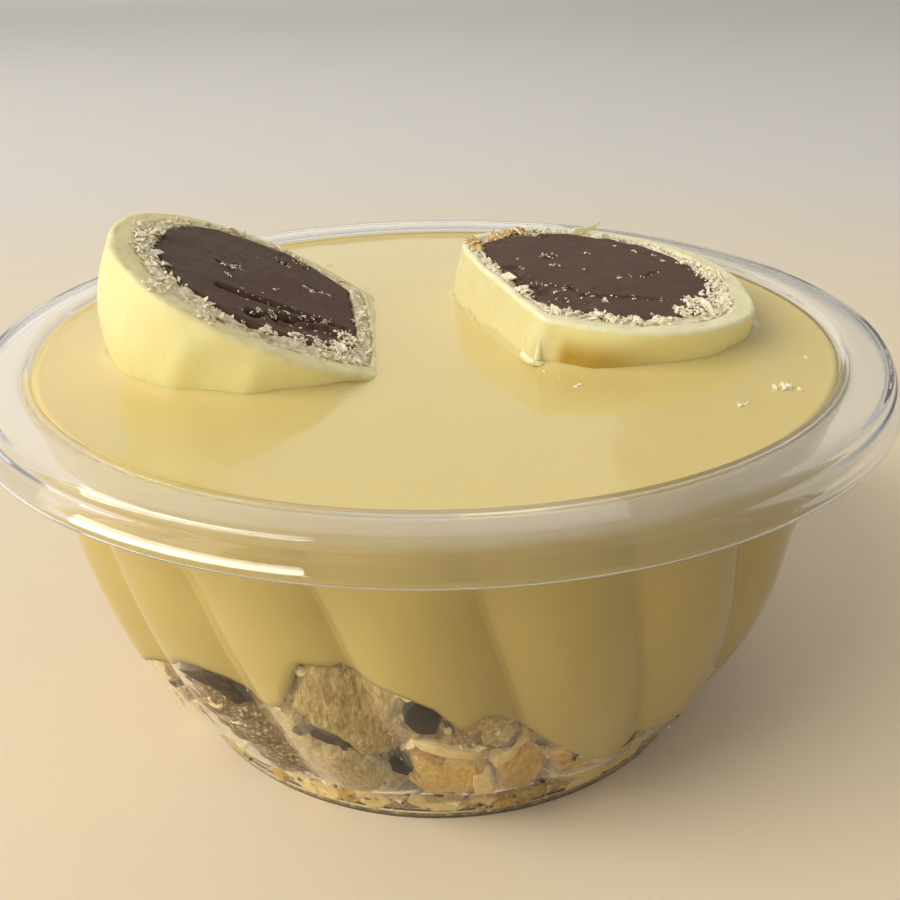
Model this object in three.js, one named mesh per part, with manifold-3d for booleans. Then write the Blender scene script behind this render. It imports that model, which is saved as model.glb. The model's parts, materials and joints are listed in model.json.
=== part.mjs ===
// Layered dessert cup: a clear fluted plastic cup on a low foot, filled with pieces of wafer and
// chocolate under a thick pale cream, with two halves of a filled bonbon set in the cream.
// Millimetres, +Z up, origin under the middle of the foot. -Y faces the viewer.
import * as THREE from "three";
import Module from "manifold-3d";

// ---------------------------------------------------------------- driving dimensions
const CUP_HEIGHT = 41.3; // foot to the top of the flange
const FLANGE_RADIUS = 45; // outer edge of the flat flange
const LIP_RADIUS = 46.65; // outermost edge of the turned-out skirt
const MOUTH_RADIUS = 41.6; // inner edge of the flat flange
const WALL = 0.6; // sheet thickness of the bowl
const SHEET = 0.5; // sheet thickness of the flange and skirt
const FOOT_RADIUS = 30.8; // edge of the standing face
const SHOULDER_RADIUS = 34.2; // where the flutes end above the foot
const SHOULDER_Z = 6.9;

const FLUTES = 20;
const STEPS_PER_FLUTE = 4;
const FLUTE_DEPTH = 1.35; // crease to crest, in the middle of the bowl
const FLUTE_TOP_Z = 38; // the wall is plain above this
const TWIST_DEG = 14; // turn of a crease from top to foot
const CREASE_DEG = 1.7; // angle of the crease next to the front, at the top

const CREAM_LEVEL = 40.3;
const GAP = 0.3; // clearance between neighbours

const HEAP_MEAN_Z = 12.5; // mean height of the wafer layer
const HEAP_RINGS = 5;
const HEAP_COLUMNS = 48;

const BONBON_RADIUS = 17;
const BONBON_HEIGHT = 28.7; // flat base to the top of the dome
const BONBON_WIDEST = 12; // height above the base of the widest part
const BONBON_BASE_SHARE = 0.72; // radius at the base over the largest radius
const DOME_POWER = 2.15; // 2 is an ellipse, more is fuller
const BASE_BULGE = 0.5;
const COAT_SIDE = 1.9;
const COAT_TOP = 2.6;
const WAFER_SIDE = 1.7;
const LAYER_GAP = 0.12;
const BONBON_STEPS = 22; // facets round a whole bonbon

// Each half lies with its cut face up: where the middle of the flat base is, the heading of
// the dome seen from above, and the slope of the cut face along X and Y.
const LEFT_HALF = { at: [-5.9, -2.0, 40.0], heading: 186.3, slope: [-0.498, -0.032] };
const RIGHT_HALF = { at: [6.08, -1.98, 46.2], heading: 19.3, slope: [-0.096, 0.038] };

const CREAM_COLOUR = 0xdccb8c;
const CLEAR_COLOUR = 0xe4e8e6;
const HEAP_COLOUR = 0xa98f66;
const COAT_COLOUR = 0xf1e6a6;
const WAFER_COLOUR = 0xc7ab7c;
const FILLING_COLOUR = 0x57453f;

const wasm = await Module();
wasm.setup();

// ---------------------------------------------------------------- helpers
const RAD = Math.PI / 180;
const COLUMNS = FLUTES * STEPS_PER_FLUTE;

function smooth(a, b, x) {
  const t = Math.min(1, Math.max(0, (x - a) / (b - a)));
  return t * t * (3 - 2 * t);
}

function solid(positions, indices) {
  const mesh = new wasm.Mesh({
    numProp: 3,
    vertProperties: new Float32Array(positions),
    triVerts: new Uint32Array(indices),
  });
  return new wasm.Manifold(mesh);
}

function node(name, body, colour, roughness) {
  const mesh = body.getMesh();
  const geometry = new THREE.BufferGeometry();
  geometry.setAttribute("position", new THREE.BufferAttribute(mesh.vertProperties, 3));
  geometry.setIndex(new THREE.BufferAttribute(mesh.triVerts, 1));
  const flat = geometry.toNonIndexed();
  flat.computeVertexNormals();
  const material = new THREE.MeshStandardMaterial({ color: colour, roughness });
  if (name === "cup") {
    material.transparent = true;
    material.opacity = 0.35;
  }
  const out = new THREE.Mesh(flat, material);
  out.name = name;
  return out;
}

// A closed skin from rings of equally many points; the ends close on single points. From ring
// flipFrom on the facets split along the other diagonal, so that skins run up and down alike.
function skin(rings, lowPoint, highPoint, flipFrom = Infinity) {
  const n = rings[0].length;
  const positions = [...lowPoint];
  const indices = [];
  for (const row of rings) {
    for (const p of row) {
      positions.push(...p);
    }
  }
  const last = positions.length / 3;
  positions.push(...highPoint);
  const at = (i, k) => 1 + i * n + (k % n);
  for (let k = 0; k < n; k += 1) {
    indices.push(0, at(0, k + 1), at(0, k));
    indices.push(last, at(rings.length - 1, k), at(rings.length - 1, k + 1));
  }
  for (let i = 0; i + 1 < rings.length; i += 1) {
    for (let k = 0; k < n; k += 1) {
      if (i < flipFrom) {
        indices.push(at(i, k), at(i, k + 1), at(i + 1, k + 1));
        indices.push(at(i, k), at(i + 1, k + 1), at(i + 1, k));
      } else {
        indices.push(at(i, k), at(i, k + 1), at(i + 1, k));
        indices.push(at(i, k + 1), at(i + 1, k + 1), at(i + 1, k));
      }
    }
  }
  return solid(positions, indices);
}

// ---------------------------------------------------------------- the fluted wall
// Radius of the crests of the outer wall: a foot cone, a shoulder, then a bowl that
// rises to a nearly upright wall.
function crestRadius(z) {
  if (z < 5.2) {
    return FOOT_RADIUS + 0.25 * z;
  }
  if (z < SHOULDER_Z) {
    return FOOT_RADIUS + 1.3 + (SHOULDER_RADIUS - FOOT_RADIUS - 1.3) * smooth(4.6, 7.2, z);
  }
  const t = (z - SHOULDER_Z) / (CUP_HEIGHT - SHOULDER_Z);
  return SHOULDER_RADIUS + 6.1 * (1 - (1 - t) ** 2.9) + 0.35 * t * t;
}

function fluteDepth(z) {
  const low = 0.55 + 0.45 * smooth(SHOULDER_Z, SHOULDER_Z + 9, z);
  const high = 1 - smooth(FLUTE_TOP_Z - 9, FLUTE_TOP_Z, z);
  return z < SHOULDER_Z - 0.6 ? 0 : FLUTE_DEPTH * low * high;
}

function columnAngle(k, z) {
  const turn = TWIST_DEG * Math.min(1, Math.max(0, (FLUTE_TOP_Z - z) / (FLUTE_TOP_Z - 5)));
  return (CREASE_DEG + turn + (360 / COLUMNS) * k) * RAD;
}

function lobe(k) {
  const u = (k % STEPS_PER_FLUTE) / STEPS_PER_FLUTE;
  return (2 * u - 1) ** 2;
}

function polar(radius, angle, z) {
  return [radius * Math.sin(angle), -radius * Math.cos(angle), z];
}

function ring(radius, z, inset = 0) {
  return Array.from({ length: COLUMNS }, (_, k) => {
    const r = (radius ?? crestRadius(z)) - inset;
    const dip = radius === null ? fluteDepth(z) * lobe(k) : 0;
    return polar(r - dip, columnAngle(k, z), z);
  });
}

// The inner face of the wall from the floor up to where the flutes end, or a skin inside it.
function innerRings(inset) {
  const floor = ring(FOOT_RADIUS - 0.75 - inset, WALL + inset);
  const foot = ring(FOOT_RADIUS + 0.55 - inset, 5.2);
  const levels = [6.5, SHOULDER_Z + 0.2, 11.5, 17.5, 25, 32.5, FLUTE_TOP_Z];
  return [floor, foot, ...levels.map((z) => ring(null, z, WALL + inset))];
}

function makeCup() {
  const H = CUP_HEIGHT;
  const outer = [
    ring(FOOT_RADIUS - 0.6, 0),
    ring(FOOT_RADIUS, 0.6),
    ring(FOOT_RADIUS + 1.2, 5.2),
    ring(null, 6.3),
    ring(null, SHOULDER_Z),
    ring(null, 11.5),
    ring(null, 17.5),
    ring(null, 25),
    ring(null, 32.5),
    ring(null, FLUTE_TOP_Z),
    ring(MOUTH_RADIUS - 0.5, H - 1.2),
    ring(MOUTH_RADIUS + 0.3, H - SHEET),
    ring(FLANGE_RADIUS - 0.4, H - SHEET),
    ring(FLANGE_RADIUS + 0.15, H - 1.3),
    ring(FLANGE_RADIUS + 0.3, H - 2.2),
    ring(LIP_RADIUS - 0.25, H - 2.75),
    ring(LIP_RADIUS, H - 2.5),
    ring(LIP_RADIUS - 0.3, H - 2.15),
    ring(FLANGE_RADIUS + 0.7, H - 1.0),
    ring(FLANGE_RADIUS, H),
    ring(MOUTH_RADIUS, H),
    ring(MOUTH_RADIUS - 0.8, H - 0.55),
  ];
  const rings = [...outer, ...innerRings(0).reverse()];
  return skin(rings, [0, 0, 0], [0, 0, WALL], outer.length);
}

// ---------------------------------------------------------------- what fills the cup
// Height of the wafer layer: heaped at the front left, low at the front right.
const HEAPS = [
  { angle: -15, radius: 37, rise: 12, spread: 5 },
  { angle: -37, radius: 36, rise: 7.5, spread: 5 },
  { angle: -3, radius: 37, rise: 6.5, spread: 5.5 },
  { angle: 8, radius: 36, rise: 3.5, spread: 5 },
  { angle: 28, radius: 34, rise: -5, spread: 6.5 },
  { angle: 80, radius: 30, rise: 3, spread: 10 },
  { angle: 130, radius: 33, rise: 6, spread: 8 },
  { angle: -165, radius: 31, rise: 4.5, spread: 9 },
  { angle: -110, radius: 30, rise: 3, spread: 9 },
];

function heapHeight(x, y) {
  let z = HEAP_MEAN_Z;
  for (const h of HEAPS) {
    const dx = x - h.radius * Math.sin(h.angle * RAD);
    const dy = y + h.radius * Math.cos(h.angle * RAD);
    z += h.rise * Math.exp(-(dx * dx + dy * dy) / (2 * h.spread * h.spread));
  }
  return z + 0.5 * Math.sin(x * 0.45 + 1) * Math.cos(y * 0.4);
}

// Everything inside the wall, up to the level of the cream.
function makeFill() {
  const rim = ring(MOUTH_RADIUS - 1.0 - GAP, CREAM_LEVEL);
  return skin([...innerRings(GAP), rim], [0, 0, WALL + GAP], [0, 0, CREAM_LEVEL]);
}

// Everything below the surface of the heap, lifted by a little, out past the wall.
function belowHeap(lift) {
  const row = (radius, height) => Array.from({ length: HEAP_COLUMNS }, (_, k) => {
    const p = polar(radius, ((360 / HEAP_COLUMNS) * k) * RAD, 0);
    return [p[0], p[1], height ?? heapHeight(p[0], p[1]) + lift];
  });
  const reach = FLANGE_RADIUS + 3;
  const rows = [row(reach, -5)];
  for (let i = HEAP_RINGS; i >= 1; i -= 1) {
    rows.push(row((reach * i) / HEAP_RINGS, null));
  }
  return skin(rows, [0, 0, -5], [0, 0, heapHeight(0, 0) + lift]);
}

// ---------------------------------------------------------------- the bonbon halves
// Half profile of a whole bonbon, grown or shrunk by side and end allowances, as points
// of radius and height above the flat base.
function bonbonProfile(side, base, top) {
  const points = [new THREE.Vector2(0, base - BASE_BULGE)];
  const wide = BONBON_RADIUS - side;
  const share = BONBON_BASE_SHARE;
  points.push(new THREE.Vector2(wide * share * 0.55, base - BASE_BULGE * 0.7));
  const flank = 2;
  for (let i = 0; i <= flank; i += 1) {
    const t = i / flank;
    const r = wide * (1 - (1 - share) * (1 - t) ** 2);
    points.push(new THREE.Vector2(r, base + (BONBON_WIDEST - base) * t));
  }
  const arc = 6;
  for (let i = 1; i < arc; i += 1) {
    const a = (i / arc) * Math.PI * 0.5;
    const r = wide * Math.cos(a) ** (2 / DOME_POWER);
    const s = (BONBON_HEIGHT - top - BONBON_WIDEST) * Math.sin(a) ** (2 / DOME_POWER);
    points.push(new THREE.Vector2(r, BONBON_WIDEST + s));
  }
  points.push(new THREE.Vector2(0, BONBON_HEIGHT - top));
  return points;
}

function lathe(points, steps) {
  const positions = [points[0].x, points[0].y, 0];
  const indices = [];
  const body = points.slice(1, -1);
  for (const p of body) {
    for (let k = 0; k < steps; k += 1) {
      const a = (k / steps) * 2 * Math.PI;
      positions.push(p.x * Math.cos(a), p.y, -p.x * Math.sin(a));
    }
  }
  const last = positions.length / 3;
  positions.push(0, points[points.length - 1].y, 0);
  const at = (i, k) => 1 + i * steps + (k % steps);
  for (let k = 0; k < steps; k += 1) {
    indices.push(0, at(0, k + 1), at(0, k));
    indices.push(last, at(body.length - 1, k), at(body.length - 1, k + 1));
    for (let i = 0; i + 1 < body.length; i += 1) {
      indices.push(at(i, k), at(i, k + 1), at(i + 1, k + 1));
      indices.push(at(i, k), at(i + 1, k + 1), at(i + 1, k));
    }
  }
  return solid(positions, indices);
}

function bonbonSolid(side, base, top) {
  return lathe(bonbonProfile(side, base, top), BONBON_STEPS);
}

// Everything below the cut face, in the frame of the bonbon.
function lowerHalf(faceLift) {
  const box = new THREE.BoxGeometry(80, 80, 40);
  box.translate(0, 15, 20 - faceLift);
  const merged = [];
  const index = [];
  const seen = new Map();
  const p = box.attributes.position;
  for (const i of box.index.array) {
    const key = [p.getX(i), p.getY(i), p.getZ(i)].join(",");
    if (!seen.has(key)) {
      seen.set(key, merged.length / 3);
      merged.push(p.getX(i), p.getY(i), p.getZ(i));
    }
    index.push(seen.get(key));
  }
  return solid(merged, index);
}

function placement(half) {
  const [a, b] = half.slope;
  const normal = new THREE.Vector3(-a, -b, 1).normalize();
  const h = half.heading * RAD;
  const axis = new THREE.Vector3(Math.cos(h), Math.sin(h), a * Math.cos(h) + b * Math.sin(h));
  axis.normalize();
  const across = new THREE.Vector3().crossVectors(normal, axis);
  const matrix = new THREE.Matrix4().makeBasis(across, axis, normal.clone().negate());
  matrix.setPosition(...half.at);
  return matrix.elements;
}

function makeHalf(half) {
  const below = lowerHalf(0);
  const base = COAT_SIDE - 0.2;
  const coatIn = bonbonSolid(COAT_SIDE, base, COAT_TOP);
  const waferOut = bonbonSolid(COAT_SIDE + LAYER_GAP, base + LAYER_GAP, COAT_TOP + LAYER_GAP);
  const depth = COAT_SIDE + WAFER_SIDE;
  const waferIn = bonbonSolid(depth, base + WAFER_SIDE, COAT_TOP + WAFER_SIDE);
  const core = depth + LAYER_GAP;
  const filling = bonbonSolid(core, base + WAFER_SIDE + LAYER_GAP, COAT_TOP + core - COAT_SIDE);
  const place = placement(half);
  return {
    coating: bonbonSolid(0, 0, 0).subtract(coatIn).intersect(below).transform(place),
    wafer: waferOut.subtract(waferIn).intersect(below).transform(place),
    filling: filling.intersect(below).transform(place),
    pocket: bonbonSolid(-GAP, -GAP, -GAP).intersect(lowerHalf(6)).transform(place),
  };
}

// ---------------------------------------------------------------- assembly
const group = new THREE.Group();
group.name = "layered_dessert_cup";

const left = makeHalf(LEFT_HALF);
const right = makeHalf(RIGHT_HALF);
const fill = makeFill();
const heap = fill.intersect(belowHeap(0));
const cream = fill.subtract(belowHeap(GAP)).subtract(left.pocket).subtract(right.pocket);

group.add(node("cup", makeCup(), CLEAR_COLOUR, 0.1));
group.add(node("wafer_layer", heap, HEAP_COLOUR, 0.9));
group.add(node("cream", cream, CREAM_COLOUR, 0.35));
for (const [side, half] of [["left", left], ["right", right]]) {
  group.add(node(`bonbon_${side}_coating`, half.coating, COAT_COLOUR, 0.45));
  group.add(node(`bonbon_${side}_wafer`, half.wafer, WAFER_COLOUR, 0.9));
  group.add(node(`bonbon_${side}_filling`, half.filling, FILLING_COLOUR, 0.5));
}

export default group;
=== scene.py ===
"""Looks of the layered dessert cup: clear fluted cup, cream, wafer heap and two bonbon halves.

Shapes are worked out in millimetres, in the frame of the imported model, and turned into metres
when a mesh is made. Angles run from the front (-Y) towards the right (+X).
"""
import itertools
import json
import math

import bmesh
import bpy
import numpy as np
from mathutils import Matrix, Vector

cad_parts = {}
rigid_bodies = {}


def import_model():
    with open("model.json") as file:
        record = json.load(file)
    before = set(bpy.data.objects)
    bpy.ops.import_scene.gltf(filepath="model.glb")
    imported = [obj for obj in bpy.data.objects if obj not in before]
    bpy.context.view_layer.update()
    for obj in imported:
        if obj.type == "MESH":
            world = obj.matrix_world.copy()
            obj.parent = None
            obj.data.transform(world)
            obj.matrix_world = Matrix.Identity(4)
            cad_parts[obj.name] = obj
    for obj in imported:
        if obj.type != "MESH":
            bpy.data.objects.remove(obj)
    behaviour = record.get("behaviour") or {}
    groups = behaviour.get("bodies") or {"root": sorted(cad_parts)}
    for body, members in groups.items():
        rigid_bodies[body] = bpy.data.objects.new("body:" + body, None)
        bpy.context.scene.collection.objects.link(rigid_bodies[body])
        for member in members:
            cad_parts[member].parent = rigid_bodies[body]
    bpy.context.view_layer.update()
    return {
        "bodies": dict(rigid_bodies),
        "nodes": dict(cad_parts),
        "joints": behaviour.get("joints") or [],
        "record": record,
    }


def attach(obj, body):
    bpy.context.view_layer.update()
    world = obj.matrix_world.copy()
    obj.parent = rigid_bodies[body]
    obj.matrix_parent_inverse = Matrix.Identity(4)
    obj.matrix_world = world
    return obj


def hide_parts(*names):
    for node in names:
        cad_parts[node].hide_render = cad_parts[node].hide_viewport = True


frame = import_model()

MM = 0.001
WELD_MM = 0.002
SCENE = bpy.context.scene
BODY = "root"

# ---- sizes of the cup (mm)
HEIGHT = 41.3
FLANGE_RADIUS = 45
LIP_RADIUS = 46.65
MOUTH_RADIUS = 41.6
WALL = 0.6
SHEET = 0.5
FOOT_RADIUS = 30.8
FOOT_CONE_TOP = 5.2
FOOT_TAPER = 0.25  # how far the foot widens for each mm of height
SHOULDER_RADIUS = 34.2
SHOULDER_Z = 6.9
FLUTES = 20
FLUTE_DEPTH = 1.35
FLUTE_TOP = 38
TWIST_DEG = 14
CREASE_DEG = 1.7
GROOVE_SHARE = 0.05  # share of a half flute that the flat groove beside it takes
GROOVE_CORNER = 0.004  # softness of the groove's two edges

CREAM_LEVEL = 40.3
HEAP_MEAN_Z = 12.5

BONBON_RADIUS = 17
BONBON_HEIGHT = 28.7
BONBON_WIDEST = 12
BASE_SHARE = 0.72
DOME_POWER = 2.15
BASE_BULGE = 0.5
EDGE_ROUND = 0.5  # radius of the coating's edge on the cut face
FACE_STEPS = 150  # steps along half an outline on the cut face
FILLING_RINGS = 64  # steps from the filling's edge to its middle
WAFER_STEPS = 16  # steps across the crumb ring
# The halves: sign of X on the near side, seed, middle of the base edge, heading and slope of the cut
# face, and how far in each layer ends on that face: at the side, base and dome, and its shift across.
HALVES = {
    "left": {"near": 1, "seed": 11, "at": (-5.9, -2.0, 40.0), "heading": 186.3, "slope": (-0.498, -0.032),
             "layers": {"coating": (1.9, 1.7, 2.6, -0.7), "wafer": (3.6, 3.4, 4.3, -1.5)}},
    "right": {"near": -1, "seed": 23, "at": (6.08, -1.98, 46.2), "heading": 19.3, "slope": (-0.096, 0.038),
              "layers": {"coating": (1.6, 0.9, 2.4, 0.2), "wafer": (3.0, 1.9, 3.8, 0.5)}},
}


# ---- numbers
def smooth(a, b, x):
    t = np.clip((x - a) / (b - a), 0, 1)
    return t * t * (3 - 2 * t)


def lattice(ix, iy, iz, seed):
    """A repeatable value from 0 to 1 for each whole-number place."""
    n = ix * 374761393 + iy * 668265263 + iz * 1442695041 + seed * 974634777
    n = (n ^ (n >> 13)) & 0xFFFFFFFF
    n = (n * 1274126177) & 0xFFFFFFFF
    return ((n ^ (n >> 16)) & 0xFFFFFF) / 0xFFFFFF


def value_noise(points, size, seed=0):
    """Smooth noise from -1 to 1 at each point, with lumps about size mm across."""
    p = np.moveaxis(np.asarray(points, float), -1, 0) / size
    cell = np.floor(p).astype(np.int64)
    f = p - cell
    f = f * f * (3 - 2 * f)
    total = 0
    for corner in itertools.product((0, 1), repeat=3):
        x, y, z = (share if step else 1 - share for share, step in zip(f, corner))
        places = (whole + step for whole, step in zip(cell, corner))
        total = total + x * y * z * lattice(*places, seed)
    return 2 * total - 1


def fractal(points, size, seed=0, octaves=3):
    return sum(value_noise(points, size / 2**i, seed + 17 * i) / 2**i for i in range(octaves))


def unit(vectors):
    """The vectors at length one."""
    return vectors / np.maximum(np.linalg.norm(vectors, axis=-1, keepdims=True), 1e-6)


def at_depth(row, z):
    """The points of a row, all moved to one depth."""
    return row * (1, 1, 0) + (0, 0, z)


# ---- the fluted wall
def crest_radius(z):
    z = np.asarray(z, float)
    foot = FOOT_RADIUS + FOOT_TAPER * z
    cone_top = FOOT_RADIUS + FOOT_TAPER * FOOT_CONE_TOP
    shoulder = cone_top + (SHOULDER_RADIUS - cone_top) * smooth(4.6, 7.2, z)
    t = np.clip((z - SHOULDER_Z) / (HEIGHT - SHOULDER_Z), 0, 1)
    bowl = SHOULDER_RADIUS + 6.1 * (1 - (1 - t) ** 2.9) + 0.35 * t * t
    return np.where(z < FOOT_CONE_TOP, foot, np.where(z < SHOULDER_Z, shoulder, bowl))


def flute_depth(z):
    z = np.asarray(z, float)
    low = 0.55 + 0.45 * smooth(SHOULDER_Z, SHOULDER_Z + 9, z)
    high = 1 - smooth(FLUTE_TOP - 9, FLUTE_TOP, z)
    return FLUTE_DEPTH * low * high * smooth(SHOULDER_Z - 1.4, SHOULDER_Z, z)


def twist(z):
    return TWIST_DEG * np.clip((FLUTE_TOP - np.asarray(z, float)) / (FLUTE_TOP - 5), 0, 1)


def lobe(u):
    """How far the wall dips at share u of a flute: 0 on the crest, level in the groove."""
    q = np.abs(2 * u - 1)
    floor = (1 - GROOVE_SHARE) ** 2
    over = q * q - floor
    return floor - GROOVE_CORNER * np.logaddexp(0, -over / GROOVE_CORNER)


def wall_radius(angle, z, inset=0.0):
    """Radius of the outer wall, less inset, at an angle in degrees."""
    u = ((angle - CREASE_DEG - twist(z)) / (360 / FLUTES)) % 1
    return crest_radius(z) - flute_depth(z) * lobe(u) - inset


def polar(radius, angle, z):
    """Points from radius, angle in degrees and height."""
    a = np.radians(angle)
    return np.stack(np.broadcast_arrays(radius * np.sin(a), -radius * np.cos(a), z), -1)


def on_wall(angle, z, inset=0.0):
    """Points of the outer wall, moved inwards by inset."""
    return polar(wall_radius(angle, z, inset), angle, z)


# ---- meshes
def grid_faces(rows, columns, wrap=True, start=0, flip=False):
    """Quads of a grid whose points are stored row by row."""
    steps = columns if wrap else columns - 1
    i, k = np.meshgrid(np.arange(rows - 1), np.arange(steps), indexing="ij")
    a = start + i * columns + k
    b = start + i * columns + (k + 1) % columns
    quads = np.stack([a, b, b + columns, a + columns], -1).reshape(-1, 4)
    return quads[:, ::-1] if flip else quads


def fan_faces(centre, ring_start, columns, flip=False):
    k = np.arange(columns)
    tris = np.stack([np.full(columns, centre), ring_start + k, ring_start + (k + 1) % columns], -1)
    return tris[:, ::-1] if flip else tris


def closed_skin(rings, low, high, flip=False):
    """Points and faces of a closed skin from rings of equal length and two end points."""
    rings = np.asarray(rings)
    rows, columns = rings.shape[:2]
    points = np.concatenate([[low], rings.reshape(-1, 3), [high]])
    quads = grid_faces(rows, columns, start=1, flip=flip)
    bottom = fan_faces(0, 1, columns, flip=not flip)
    top = fan_faces(len(points) - 1, 1 + (rows - 1) * columns, columns, flip=flip)
    return points, [*quads.tolist(), *bottom.tolist(), *top.tolist()]


def make_object(name, points, faces, materials, face_material=None, smooth_shading=True, place=None):
    """A mesh from points in mm; place is the matrix of its own frame, in metres."""
    mesh = bpy.data.meshes.new(name)
    mesh.from_pydata((np.asarray(points) * MM).tolist(), [], faces)
    for material in materials:
        mesh.materials.append(material)
    count = len(mesh.polygons)
    mesh.polygons.foreach_set("use_smooth", [smooth_shading] * count)
    if face_material is not None:
        mesh.polygons.foreach_set("material_index", face_material)
    mesh.update()
    obj = bpy.data.objects.new(name, mesh)
    SCENE.collection.objects.link(obj)
    if place is not None:
        obj.matrix_world = place
    return obj


def weld(obj):
    """Joins the points that lie on each other, so that no face has an edge of no length."""
    shape = bmesh.new()
    shape.from_mesh(obj.data)
    bmesh.ops.remove_doubles(shape, verts=shape.verts, dist=WELD_MM * MM)
    shape.to_mesh(obj.data)
    shape.free()


def add_piece(obj, replaces=()):
    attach(obj, BODY)
    if replaces:
        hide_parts(*replaces)


class Joined:
    """Many small closed shapes gathered into one mesh."""

    def __init__(self):
        self.points = []
        self.faces = []
        self.count = 0

    def add(self, points, faces):
        self.points.append(np.asarray(points))
        self.faces.extend([[i + self.count for i in face] for face in faces])
        self.count += len(points)

    def add_piece(self, name, look, slot, smooth_shading=True, place=None):
        points = np.concatenate(self.points)
        obj = make_object(name, points, self.faces, [look], smooth_shading=smooth_shading, place=place)
        add_piece(obj)


# ---- materials
class Look:
    """A node material with one Principled shader, and short ways to feed it."""

    def __init__(self, name, **values):
        self.material = bpy.data.materials.new(name)
        self.material.use_nodes = True
        self.tree = self.material.node_tree
        self.shader = self.tree.nodes["Principled BSDF"]
        self.output = self.tree.nodes["Material Output"]
        for socket, value in values.items():
            self.shader.inputs[socket.replace("_", " ")].default_value = value
        self.coords = self.tree.nodes.new("ShaderNodeTexCoord").outputs["Object"]

    def node(self, kind, inputs=(), **settings):
        made = self.tree.nodes.new("ShaderNode" + kind)
        for name, value in settings.items():
            setattr(made, name, value)
        for key, value in dict(inputs).items():
            if isinstance(value, bpy.types.NodeSocket):
                self.tree.links.new(value, made.inputs[key])
            else:
                made.inputs[key].default_value = value
        return made

    def noise(self, size, detail=3.0, roughness=0.55, stretch=(1, 1, 1), distortion=0.0):
        """Noise with features about size mm across."""
        mapping = self.node("Mapping", {"Vector": self.coords, "Scale": stretch})
        values = {
            "Vector": mapping.outputs[0],
            "Scale": 1 / (size * MM),
            "Detail": detail,
            "Roughness": roughness,
            "Distortion": distortion,
        }
        return self.node("TexNoise", values).outputs["Fac"]

    def axis(self, index):
        """One coordinate of the piece's own frame, in mm."""
        parts = self.node("SeparateXYZ", {0: self.coords})
        return self.times(parts.outputs[index], 1 / MM)

    def span(self, source, low, high):
        """0 at low, 1 at high, smooth between."""
        values = {"Value": source, "From Min": low, "From Max": high}
        return self.node("MapRange", values, interpolation_type="SMOOTHSTEP").outputs["Result"]

    def ramp(self, source, *stops):
        """Colour (or grey) by stops of (position, colour or number)."""
        made = self.node("ValToRGB", {"Fac": source})
        elements = made.color_ramp.elements
        while len(elements) < len(stops):
            elements.new(0.5)
        for element, (position, colour) in zip(elements, stops):
            element.position = position
            grey = isinstance(colour, (int, float))
            element.color = (colour, colour, colour, 1) if grey else (*colour, 1)
        return made.outputs["Color"]

    def mix(self, factor, a, b, blend="MIX"):
        made = self.node("Mix", data_type="RGBA", blend_type=blend)
        for index, value in ((0, factor), (6, a), (7, b)):
            if isinstance(value, bpy.types.NodeSocket):
                self.tree.links.new(value, made.inputs[index])
            elif index == 0:
                made.inputs[index].default_value = value
            else:
                made.inputs[index].default_value = (*value, 1)
        return made.outputs[2]

    def math(self, operation, a, b):
        return self.node("Math", {0: a, 1: b}, operation=operation).outputs[0]

    def times(self, a, *others):
        for b in others:
            a = self.math("MULTIPLY", a, b)
        return a

    def set(self, socket, value):
        self.tree.links.new(value, self.shader.inputs[socket])

    def bump(self, height, distance, strength=1.0, after=None):
        """Bump whose relief is distance mm for a height from 0 to 1."""
        values = {"Height": height, "Distance": distance * MM, "Strength": strength}
        made = self.node("Bump", values)
        if after is not None:
            self.tree.links.new(after, made.inputs["Normal"])
        self.tree.links.new(made.outputs["Normal"], self.shader.inputs["Normal"])
        return made.outputs["Normal"]


def scatter(look, weight, radius, scale):
    look.shader.inputs["Subsurface Weight"].default_value = weight
    look.shader.inputs["Subsurface Radius"].default_value = radius
    look.shader.inputs["Subsurface Scale"].default_value = scale * MM


FLANGE_CLOUD = 0.16  # share of the light that the cloudiest plastic scatters


def clear_plastic():
    """Clear thin plastic, slightly cloudy on the flange, that lets the lamps through."""
    look = Look("clear_plastic", Base_Color=(0.96, 0.965, 0.95, 1), IOR=1.49, Specular_IOR_Level=0.25)
    cloud = look.times(look.span(look.axis(2), 40.2, 41.0), look.noise(14, detail=4), FLANGE_CLOUD)
    look.set("Transmission Weight", look.math("SUBTRACT", 1.0, cloud))
    look.set("Roughness", look.ramp(look.noise(9, detail=4), (0.3, 0.015), (0.75, 0.05)))
    look.bump(look.noise(3.5, detail=2), 0.02, 0.3)
    ray = look.node("LightPath").outputs["Is Shadow Ray"]
    see_through = look.node("BsdfTransparent", {"Color": (0.93, 0.935, 0.92, 1)})
    mixed = look.node("MixShader", {0: ray, 2: see_through.outputs[0]})
    look.tree.links.new(look.shader.outputs[0], mixed.inputs[1])
    look.tree.links.new(mixed.outputs[0], look.output.inputs["Surface"])
    return look.material


CREAM_COLOUR = (0.735, 0.595, 0.235)
CREAM_DEEP = (0.70, 0.55, 0.205)
# The cream's colours darkened for where it lies against the wall: painted shade.
PAINTED_SHADE_CREAM = (0.645, 0.505, 0.180)
PAINTED_SHADE_CREAM_DEEP = (0.585, 0.435, 0.138)


def cream_top_look():
    look = Look("cream_top", IOR=1.42)
    scatter(look, 0.35, (1.0, 0.62, 0.22), 2.2)
    look.set("Base Color", look.mix(look.noise(16, detail=3), CREAM_COLOUR, CREAM_DEEP))
    look.set("Roughness", look.ramp(look.noise(12, detail=2), (0.3, 0.09), (0.7, 0.15)))
    look.bump(look.noise(9, detail=2), 0.05, 0.3)
    return look.material


def cream_side_look():
    """Cream against the plastic: no air between them, so no gloss of its own. Its colours are the cream's
    own, darkened: painted shade.
    """
    look = Look("cream_at_wall_painted_shade", Roughness=0.6, Specular_IOR_Level=0.0)
    look.set("Base Color", look.mix(look.noise(11, detail=4), PAINTED_SHADE_CREAM, PAINTED_SHADE_CREAM_DEEP))
    return look.material


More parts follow.
